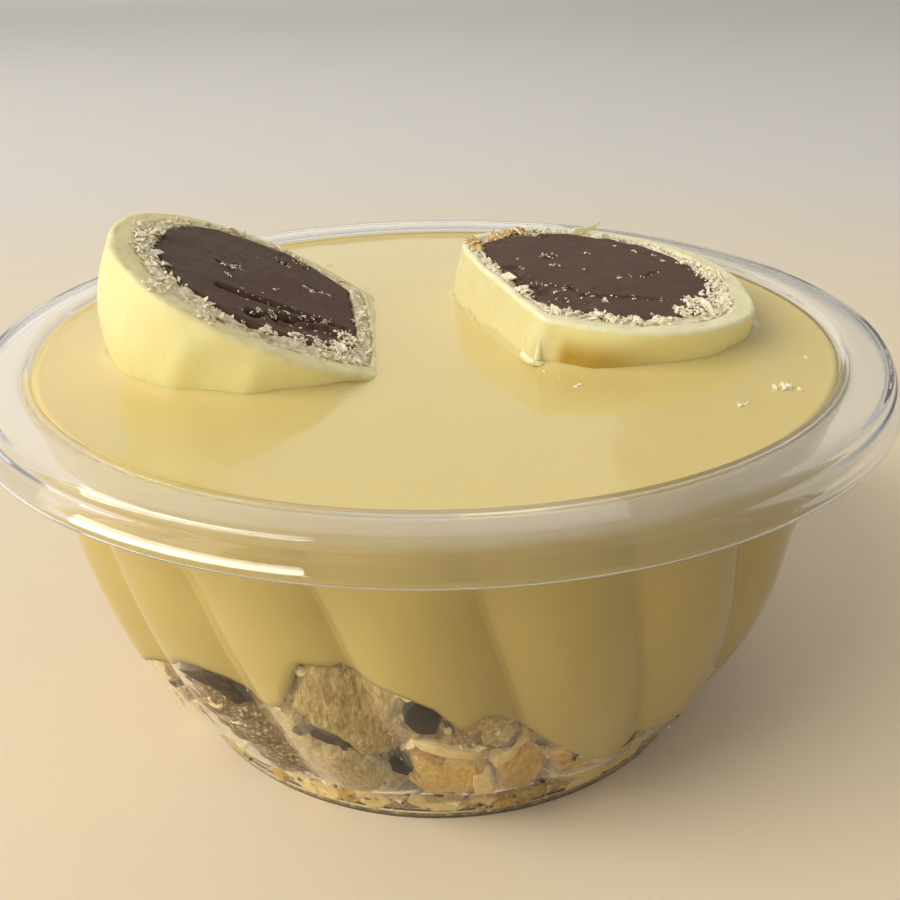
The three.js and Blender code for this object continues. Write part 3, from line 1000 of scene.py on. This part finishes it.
def resample(outline, spacing):
    """Points evenly spaced along a closed outline."""
    outline = np.asarray(outline, float)
    closed = np.concatenate([outline, outline[:1]])
    steps = np.linalg.norm(np.diff(closed, axis=0), axis=1)
    along = np.concatenate([[0], np.cumsum(steps)])
    count = max(12, int(along[-1] / spacing))
    s = np.arange(count) * along[-1] / count
    return np.stack([np.interp(s, along, closed[:, 0]), np.interp(s, along, closed[:, 1])], -1)


def chunk(joined, outline, depth, thick, relief, ragged, seed):
    """A broken piece lying against the wall. outline is a list of (angle, height)."""
    outline = np.asarray(outline, float)
    after = np.roll(outline, -1, axis=0)
    if np.sum(outline[:, 0] * after[:, 1] - after[:, 0] * outline[:, 1]) < 0:
        outline = outline[::-1]
    middle = outline.mean(0)
    scale = math.radians(1) * float(wall_radius(middle[0], middle[1], WALL))
    edge = resample((outline - middle) * (scale, 1), 0.35)
    n = len(edge)
    spot = np.column_stack([edge + middle * (scale, 1), np.full(n, seed * 3.1)])
    reach = np.linalg.norm(edge, axis=1, keepdims=True)
    wobble = fractal(spot, 1.6, seed=seed, octaves=5)[:, None]
    edge = edge * (1 + RAGGED * ragged * wobble / np.maximum(reach, 1))
    rows = []
    for t in 1 - np.arange(CHUNK_RINGS) / CHUNK_RINGS:
        p = edge * t
        place = np.column_stack([p + middle * (scale, 1), np.full(n, seed * 1.7)])
        rounding = 0.95 * smooth(0.6, 1.0, t) ** 2
        d = depth + rounding + relief * (1 + fractal(place, 1.1, seed=seed + 3, octaves=4)) - PRESSED
        rows.append((p, np.maximum(d, -0.3)))
    rows = [(edge * 0.86, np.full(n, depth + thick)), (edge * 0.98, rows[0][1] + 0.5), *rows]
    world = []
    for p, d in rows:
        z = np.clip(middle[1] + p[:, 1], 0.75, None)
        world.append(on_wall(middle[0] + p[:, 0] / scale, z, WALL + d))
    joined.add(*closed_skin(world, world[0].mean(0), world[-1].mean(0)))


# The pieces that show at the front: kind, outline as (angle, height), depth, relief, raggedness.
FRONT_PIECES = (
    ("dark", ((-47, 15), (-37.5, 20), (-32, 20.8), (-28, 18.6), (-24.5, 13.5), (-20.5, 8), (-18.5, 4.2),
              (-27, 2.8), (-30, 8), (-34, 13)), 0.05, 0.3, 0.25),
    # painted shade: a near-black strip along the top of the dark slab, under the cream's edge
    ("cocoa_and_gap_shade", ((-39, 19.4), (-32, 21.2), (-28.6, 19.8), (-26.8, 17.2), (-28.6, 16.6), (-31.5, 18.8)),
     -0.15, 0.08, 0.2),
    ("mixed", ((-27, 17.4), (-20, 19.4), (-17.5, 16.4), (-16, 10), (-16.5, 4), (-20, 5), (-24, 9)),
     0.2, 0.35, 0.45),
    ("fibre", ((-17.2, 24.8), (-15.6, 25.6), (-12, 24.8), (-7.5, 23.8), (-4.4, 22.4), (-5, 17), (-7.4, 13.6),
               (-11, 13.2), (-14, 16.2), (-17, 17.2), (-19.5, 19.6), (-18.7, 22.5)), -0.05, 0.12, 0.2),
    # painted shade: a near-black strip in the gap between the two wafer pieces
    ("cocoa_and_gap_shade", ((-17.8, 17.4), (-15.4, 16.6), (-11.6, 15.8), (-11.8, 15.0), (-15.6, 15.4), (-18, 16.2)),
     -0.05, 0.1, 0.25),
    ("fibre", ((-17.5, 15.2), (-13.5, 15.2), (-10.2, 13), (-8, 11), (-8.4, 8), (-12.5, 3.6), (-17, 4.6),
               (-18, 10.5)), 0.05, 0.2, 0.35),
    ("char", ((-4.8, 21), (-3.4, 22.6), (-1, 21.6), (0.2, 20.2), (-0.6, 17.6), (-3.4, 17.4), (-5.2, 19)),
     0.0, 0.05, 0.12),
    ("char", ((-7.4, 14), (-4, 10.6), (-5.6, 9.8), (-7.8, 11), (-8.2, 13)), 0.1, 0.05, 0.15),
    ("pale", ((-5, 16.9), (-1, 16.4), (5, 15), (4.6, 13.9), (0.5, 14.4), (-3.6, 15.3)), -0.12, 0.05, 0.08),
    ("amber", ((-5.4, 15), (-2, 14.7), (0.5, 13.9), (0, 12.8), (-3, 13)), 0.1, 0.08, 0.15),
    # painted shade: a near-black piece set deep behind the others, where the heap has a cavity
    ("cocoa_and_gap_shade", ((-1.5, 21.5), (3, 21.0), (7.5, 16), (6, 13.5), (0, 14.0)), 1.5, 0.2, 0.2),
    ("mixed", ((3.6, 19), (6, 20), (11.4, 15.9), (10.4, 14.4), (7, 14.4), (4.6, 16)), 0.5, 0.2, 0.2),
    ("pale", ((6.4, 14.2), (7.6, 14.4), (11.4, 15.8), (12.8, 14.6), (9, 12.6), (7, 12)), 0.0, 0.25, 0.4),
    ("tan", ((-4.6, 13.6), (2, 14.3), (6, 14.2), (6.8, 11.4), (4.6, 7), (0.5, 5), (-4.5, 4.6), (-5.4, 9)),
     0.15, 0.15, 0.25),
    ("pale", ((3.6, 12), (6.5, 12), (8.5, 4.4), (4.6, 4.4)), -0.12, 0.05, 0.08),
    ("tan", ((7, 13.2), (12, 13.9), (14.5, 13), (16.3, 8.2), (13.5, 6), (8.6, 6.4)), 0.0, 0.1, 0.15),
    ("amber", ((14.6, 12.2), (15.6, 13.9), (24.3, 8.9), (25.2, 5.2), (17.6, 7.8)), 0.35, 0.1, 0.15),
    ("pale", ((16.5, 7.8), (25.5, 4.8), (32, 4.2), (31, 2.8), (23.5, 2.8), (19, 4.4)), -0.05, 0.15, 0.3),
    ("dark", ((33.5, 7.0), (39.0, 10.6), (46.0, 11.2), (47.0, 6.0), (40.0, 3.6)), 0.2, 0.25, 0.3),
)


def broken_outline(source, angle, z, size, long, lean, floor):
    """A ragged outline of a few corners round a place on the wall."""
    outline = []
    corners = source.integers(5, 8)
    for c in range(corners):
        a = 2 * math.pi * (c + source.uniform(-0.25, 0.25)) / corners
        reach = size * source.uniform(0.75, 1.1)
        u = reach * long * math.cos(a)
        v = reach * math.sin(a)
        du = u * math.cos(lean) - v * math.sin(lean)
        dv = u * math.sin(lean) + v * math.cos(lean)
        outline.append((angle + math.degrees(du / 35), max(floor, z + dv)))
    return outline


# The pieces at the sides and back, and the lumps that have settled round the foot.
BACK_PIECES = 74
BACK_KINDS = ("fibre", "mixed", "tan", "tan", "dark", "pale", "amber", "char", "cocoa_and_gap_shade")
BACK_START, BACK_STOP = 47.0, 313.0  # degrees
FOOT_PIECES = 66
FOOT_KINDS = ("pale", "pale", "tan", "mixed", "pale", "pale")


def make_heap_pieces(looks):
    kinds = {kind: Joined() for kind in looks}
    for n, (kind, outline, depth, relief, ragged) in enumerate(FRONT_PIECES):
        chunk(kinds[kind], outline, depth, 2.5, relief, ragged, seed=100 + n)
    source = np.random.default_rng(41)
    for n in range(BACK_PIECES):
        share = (n + source.uniform(-0.4, 0.4)) / BACK_PIECES
        angle = BACK_START + (BACK_STOP - BACK_START) * share
        z = source.uniform(5.5, max(7.5, float(cream_edge(angle))))
        long, lean = source.uniform(1.0, 1.9), source.uniform(0, math.pi)
        outline = broken_outline(source, angle, z, source.uniform(2.2, 5.2), long, lean, 1.2)
        kind = BACK_KINDS[int(source.integers(len(BACK_KINDS)))]
        chunk(kinds[kind], outline, source.uniform(-0.1, 0.5), 2.2, 0.16, 0.3, seed=300 + n)
    for n in range(FOOT_PIECES):
        angle = 360 * (n + source.uniform(-0.3, 0.3)) / FOOT_PIECES
        z = source.uniform(1.9, 3.4)
        long, lean = source.uniform(1.1, 1.9), source.uniform(-0.3, 0.3)
        outline = broken_outline(source, angle, z, source.uniform(1.2, 2.4), long, lean, 0.9)
        kind = FOOT_KINDS[int(source.integers(len(FOOT_KINDS)))]
        chunk(kinds[kind], outline, source.uniform(-0.15, 0.2), 2.0, 0.2, 0.45, seed=500 + n)
    for kind, joined in kinds.items():
        joined.add_piece(f"heap_{kind}", looks[kind], "wafer_pieces")


def ball(subdivisions):
    """A unit ball, to be squashed into crumbs."""
    shape = bmesh.new()
    bmesh.ops.create_icosphere(shape, subdivisions=subdivisions, radius=1.0)
    points = np.array([v.co for v in shape.verts])
    faces = [[v.index for v in f.verts] for f in shape.faces]
    shape.free()
    return points, faces


LUMP_POINTS, LUMP_FACES = ball(2)


def crumb(source, size, flat, rough):
    """One crumb: a ball with lumps, flattened and turned at random."""
    seed = int(source.integers(1 << 20))
    bumps = fractal(LUMP_POINTS * 2 + seed % 977, 1.3, seed=seed % 9973)
    points = LUMP_POINTS * (1 + rough * bumps)[:, None]
    points = points * (1, source.uniform(0.6, 1.0), source.uniform(flat * 0.6, flat))
    axis = Vector(source.normal(size=3)).normalized()
    turn = np.array(Matrix.Rotation(source.uniform(0, 2 * math.pi), 3, axis))
    return points @ turn.T * size


CRUMB_COUNTS = {"heap_crumbs_pale": 640, "heap_crumbs_dark": 320}
CRUMBS_IN_FRONT = 0.45  # share of the crumbs that are moved to the front
CRUMBS_AT_FOOT = 0.45


def make_heap_crumbs(looks):
    source = np.random.default_rng(7)
    for (name, count), look in zip(CRUMB_COUNTS.items(), looks):
        joined = Joined()
        for _ in range(count):
            angle = source.uniform(-180, 180)
            if source.uniform() < CRUMBS_IN_FRONT:
                angle = source.uniform(-52, 52)
            foot = source.uniform() < CRUMBS_AT_FOOT
            z = source.uniform(0.9, 5.5) if foot else source.uniform(4, max(5, float(cream_edge(angle))))
            size = min(0.24 * math.exp(source.normal() * 0.75), 1.2)
            depth = source.uniform(-0.25, 0.4) + size * 0.5
            joined.add(crumb(source, size, 0.5, 0.5) + on_wall(angle, z, WALL + depth), LUMP_FACES)
        joined.add_piece(name, look, "wafer_pieces", False)


# ---- loose bits on top
FLAKE_SHAPE = ((1.0, 0.0), (0.4, 0.7), (-0.5, 0.6), (-1.0, -0.1), (-0.3, -0.7), (0.6, -0.5))
FLAKE_SIDES = [[6 + k, 6 + (k + 1) % 6, (k + 1) % 6, k] for k in range(6)]
FLAKE_FACES = [[0, 1, 2, 3, 4, 5], [11, 10, 9, 8, 7, 6], *FLAKE_SIDES]


def flake(source, size, long=1.6):
    """One thin curled flake of wafer."""
    top = np.array([(x * long, y, 0.0) for x, y in FLAKE_SHAPE])
    top[:, :2] *= source.uniform(0.55, 1.2, (6, 1))
    top[:, 2] = source.uniform(-0.25, 0.25, 6) + 0.25 * top[:, 0] ** 2 / long
    axis = Vector(source.normal(size=3) * (1, 1, 0.5)).normalized()
    turn = np.array(Matrix.Rotation(source.uniform(-1.3, 1.3), 3, axis))
    spin = np.array(Matrix.Rotation(source.uniform(0, 2 * math.pi), 3, "Z"))
    return np.concatenate([top, top - (0, 0, 0.28)]) @ spin.T @ turn.T * size


# Crumbs lying on the two fillings: face coordinates, size (mm).
SPECKS = {
    "left": ((-1.4, 17.7, 0.26), (-1.9, 16.7, 0.32), (1.1, 16.7, 0.3), (-0.5, 11.7, 0.2), (-5.2, 8.9, 0.26),
             (-4.3, 7.9, 0.24), (-4.6, 6.7, 0.16), (-8.5, 14.3, 0.12), (12.2, 14.4, 0.2), (8.0, 11.7, 0.26),
             (7.4, 13.2, 0.3), (6.6, 12.2, 0.24), (5.2, 10.4, 0.26), (4.4, 8.6, 0.3), (3.0, 6.4, 0.34)),
    "right": ((5.1, 4.8, 0.2), (1.8, 3.8, 0.26), (2.9, 8.1, 0.36), (0.9, 10.7, 0.2), (6.5, 14.0, 0.22),
              (-2.1, 13.4, 0.34), (-8.3, 8.6, 0.4), (-7.1, 7.7, 0.2), (8.7, 19.0, 0.26), (6.7, 20.2, 0.34),
              (5.1, 22.0, 0.36), (2.9, 21.9, 0.3), (-5.1, 5.6, 0.22), (-5.3, 4.4, 0.2), (-3.4, 4.1, 0.26),
              (-7.3, 6.2, 0.18), (-4.4, 6.0, 0.14)),
}
# Places on the ring where larger flakes lie in a clump: face coordinates, spread (mm).
CLUMPS = {
    "left": ((8.8, 5.3, 0.7), (10.0, 7.2, 0.6), (10.8, 9.2, 0.5), (7.1, 4.1, 0.6), (5.2, 4.2, 0.6),
             (11.9, 12.0, 0.4), (14.2, 17.6, 0.6), (12.0, 22.4, 0.6), (3.5, 25.2, 0.6), (-3.0, 26.2, 0.5)),
    "right": ((1.8, 24.4, 0.5), (-0.8, 24.6, 0.6), (-3.2, 24.2, 0.6), (-5.9, 23.0, 0.7), (-8.6, 20.8, 0.7),
              (-10.2, 18.8, 0.8), (-11.6, 16.8, 0.7), (-12.6, 15.1, 0.6), (-9.6, 17.6, 0.5),
              (-14.0, 11.5, 0.5), (-13.6, 8.6, 0.5), (-12.2, 5.9, 0.4)),
}
# How many bits lie on a ring (before thinning), at a speck, along a mark, in a clump and so on.
RING_FLAKES = 2600
FLAKES_AT_SPECK = 4
FLAKES_AT_MARK = 14
FLAKES_IN_CLUMP = 22
CHIPS_AT_PLACE = 7
CRUMBS_AT_PLACE = 3
# Where the browned chips stand: face coordinates (mm).
BROWN_CHIPS = ((12.6, 5.0), (13.8, 6.6), (14.6, 7.9), (15.2, 9.2), (15.6, 10.6), (11.6, 2.2), (10.6, 2.0),
               (8.8, 1.6))
SHARD = ((14.6, 16.2, 0.3), (13.9, 19.5, -1.4))  # foot and tip of a splinter of coating


def near_spot(source, x, y, spread, z):
    """A random place round x and y, at depth or height z."""
    return (x + source.normal() * spread[0], y + source.normal() * spread[1], z)


def scatter_face_crumbs(half, look):
    """Flakes and crumbs of wafer on the cut: most on the ring, a few on the filling."""
    source = np.random.default_rng(half.seed + 60)
    joined = Joined()
    outer, inner = half.edge("coating"), half.edge("wafer")
    crowd = smooth(-0.5, 0.5, value_noise(outer, 3.0, seed=half.seed + 61))
    crowd = crowd * (0.35 + 0.65 * smooth(-6, 4, outer[:, 0] * half.near))
    for _ in range(RING_FLAKES):
        k = int(source.integers(len(outer)))
        t = source.uniform(-0.08, 1.12)
        size = 0.12 * math.exp(source.normal() * 0.6)
        if source.uniform() > crowd[k]:
            continue
        p = outer[k] * (1 - t) + inner[k] * t + near_spot(source, 0, 0, (0.12, 0.12), 0.10 - size * 0.6)
        joined.add(flake(source, size) + p, FLAKE_FACES)
    for x, y, size in SPECKS[half.side]:
        for _ in range(FLAKES_AT_SPECK):
            size = size * 0.93
            p = near_spot(source, x, y, (size * 0.8, size * 0.8), 0.02 - size * 0.2)
            joined.add(flake(source, size * source.uniform(0.35, 0.8)) + p, FLAKE_FACES)
    # dust and tiny flakes that the knife left along the gouges
    for path, width, _, _ in MARKS[half.side]:
        path = np.array(path)
        for _ in range(FLAKES_AT_MARK):
            k = int(source.integers(len(path) - 1))
            x, y = path[k] + (path[k + 1] - path[k]) * source.uniform() + source.normal(size=2) * width * 0.9
            size = source.uniform(0.05, 0.13)
            joined.add(flake(source, size) + (x, y, 0.02 - 0.3 * size), FLAKE_FACES)
    for x, y, spread in CLUMPS[half.side]:
        for _ in range(FLAKES_IN_CLUMP):
            size = source.uniform(0.09, 0.27)
            p = near_spot(source, x, y, (spread, spread * 0.8), 0.05 - size * 0.35)
            joined.add(crumb(source, size, 0.7, 0.45) + p, LUMP_FACES)
            shape = flake(source, source.uniform(0.10, 0.24))
            p = near_spot(source, x, y, (spread, spread * 0.8), 0)
            joined.add(shape + p - (0, 0, source.uniform(0.0, 0.25)), FLAKE_FACES)
    joined.add_piece(f"bonbon_{half.side}_flakes", look, "wafer", False, half.place)


def make_chips(half, look):
    """Browned wafer chips that stand up at the far side of the base end."""
    source = np.random.default_rng(half.seed + 80)
    joined = Joined()
    for x, y in BROWN_CHIPS:
        for _ in range(CHIPS_AT_PLACE):
            size = source.uniform(0.18, 0.5)
            shape = flake(source, size, long=1.4)
            joined.add(shape + near_spot(source, x, y, (0.5, 0.5), 0.1 - 0.5 * size), FLAKE_FACES)
            size = source.uniform(0.2, 0.5)
            p = near_spot(source, x, y, (0.5, 0.5), 0.15 - 0.4 * size)
            joined.add(crumb(source, size, 0.7, 0.6) + p, LUMP_FACES)
    joined.add_piece(f"bonbon_{half.side}_brown_chips", look, "wafer", False, half.place)


def make_shard(half, look):
    """A thin splinter of coating that sticks out behind the half."""
    foot, tip = np.array(SHARD)
    turns = np.linspace(0, 2 * math.pi, 12, endpoint=False)[:, None]
    rings = []
    for t in np.linspace(0, 1, 9):
        middle = foot * (1 - t) + tip * t + np.array((0.0, 0.2, 0.25)) * math.sin(3.0 * t)
        along = np.cos(turns) * (0.2, -0.2, 0.9) * (0.95 * (1 - t) ** 0.8 + 0.05)
        across = np.sin(turns) * (0.8, -0.6, 0.0) * (0.2 * (1 - 0.6 * t))
        rings.append(middle + along + across)
    points, faces = closed_skin(rings, rings[0].mean(0), rings[-1].mean(0))
    add_piece(half.make("splinter", points, faces, look))


# Where coating has run down the near corner: place in the half's own frame, radii (mm).
DRIPS = (
    (-10.5, -0.25, 4.75, 1.5, 0.55, 0.5), (-11.55, 0.5, 4.75, 0.75, 1.0, 0.42),
    (-11.75, 0.1, 3.7, 0.32, 0.4, 1.5), (-9.6, -0.1, 4.1, 0.28, 0.32, 1.1), (-10.6, 0.0, 4.1, 0.4, 0.35, 0.8),
)


def make_drips(half, look):
    joined = Joined()
    shape, faces = ball(3)
    for x, y, z, *radii in DRIPS:
        joined.add(shape * radii * (1 + 0.16 * fractal(shape + x, 1.0, seed=7))[:, None] + (x, y, z), faces)
    joined.add_piece(f"bonbon_{half.side}_drips", look, "white_coating", place=half.place)


def make_bonbons(halves):
    wafer, filling = wafer_look(), filling_look()
    pale = crumb_look("wafer_flake", (0.74, 0.60, 0.36), (0.96, 0.89, 0.68), (1.0, 0.98, 0.88), 0.5, 0.04)
    brown = crumb_look("browned_wafer", (0.48, 0.26, 0.07), (0.72, 0.49, 0.21), (0.94, 0.80, 0.52), 0.6, 0.05)
    # only the right half gets the painted shade at its corner
    for half, corner_shade in zip(halves, (0.0, 1.0)):
        coat = coat_look(half.side, corner_shade)
        make_coating(half, coat)
        make_wafer(half, wafer)
        make_filling(half, filling)
        scatter_face_crumbs(half, pale)
    # the right half came last: its chips, splinter and drips
    make_chips(half, brown)
    make_shard(half, coat)
    make_drips(half, wet_look())


# Crumbs on the cream: place in plan, size (mm).
CREAM_SPECKS = ((31.2, -19.0, 0.6), (31.9, -19.1, 0.6), (30.7, -19.2, 0.5), (35.9, -11.4, 0.22),
                (13.0, -17.5, 0.34), (12.7, -17.9, 0.28), (11.4, -15.7, 0.2), (10.1, -14.2, 0.26),
                (26.2, -22.6, 0.3), (26.9, -22.2, 0.22), (-14.0, 24.0, 0.3), (6.0, 30.0, 0.25))


def make_cream_specks(look):
    source = np.random.default_rng(97)
    joined = Joined()
    for x, y, size in CREAM_SPECKS:
        for _ in range(CRUMBS_AT_PLACE):
            p = near_spot(source, x, y, (size * 0.5, size * 0.5), CREAM_LEVEL + 0.1 * size)
            joined.add(crumb(source, size * source.uniform(0.5, 0.9), 0.6, 0.35) + p, LUMP_FACES)
    joined.add_piece("cream_specks", look, "wafer", False)


# ---- assembly
make_camera()
make_stage()
make_cup()
halves = [Half(side, **facts) for side, facts in HALVES.items()]
make_cream(halves)
# the heap's body: its crumbs' colours, darkened so that the gaps between the pieces read dark, partly the
# crumbs' own colour and partly painted shade
make_heap_core(crumb_look("heap_crumb", (0.085, 0.04, 0.01), (0.35, 0.20, 0.052), (0.86, 0.63, 0.26),
                          1.1, 0.25, split=(0.32, 0.48, 0.64)))
make_heap_pieces({
    "dark": crumb_look("choc_wafer", (0.20, 0.105, 0.036), (0.35, 0.215, 0.075), (0.94, 0.79, 0.48),
                       0.42, 0.2, split=(0.38, 0.54, 0.63)),
    # near-black crumb: the colour of dark pieces at the back, and painted shade where it fills gaps and a
    # cavity at the front
    "cocoa_and_gap_shade": crumb_look("cocoa_and_gap_shade_crust", (0.026, 0.013, 0.005), (0.06, 0.032, 0.013), (0.15, 0.09, 0.04),
                        relief=0.1),
    "mixed": crumb_look("mixed_crumb", (0.34, 0.18, 0.035), (0.64, 0.42, 0.11), (0.95, 0.78, 0.36), 0.6, 0.2),
    "fibre": fibre_look("wafer_fibre", (0.40, 0.25, 0.075), (0.73, 0.52, 0.20), (0.99, 0.85, 0.50)),
    "char": crumb_look("dark_biscuit", (0.006, 0.004, 0.002), (0.012, 0.009, 0.005), (0.03, 0.022, 0.014),
                       0.7, 0.08),
    "tan": fibre_look("wafer_tan", (0.64, 0.33, 0.035), (0.97, 0.59, 0.10), (1.0, 0.79, 0.27)),
    "pale": crumb_look("wafer_pale", (0.94, 0.61, 0.20), (1.0, 0.76, 0.31), (1.0, 0.88, 0.48), 1.0, 0.12),
    "amber": crumb_look("wafer_amber", (0.38, 0.18, 0.02), (0.62, 0.34, 0.06), (0.84, 0.56, 0.15), 1.0, 0.12),
})
make_heap_crumbs((
    crumb_look("crumb_pale", (0.78, 0.54, 0.22), (0.92, 0.73, 0.38), (0.97, 0.88, 0.60), 0.6, 0.05),
    crumb_look("crumb_dark", (0.07, 0.04, 0.02), (0.18, 0.11, 0.055), (0.44, 0.32, 0.17), 0.6, 0.05),
))
make_bonbons(halves)
make_cream_specks(crumb_look("cream_speck", (0.80, 0.70, 0.42), (0.90, 0.82, 0.58), (0.95, 0.90, 0.74),
                             0.4, 0.04))
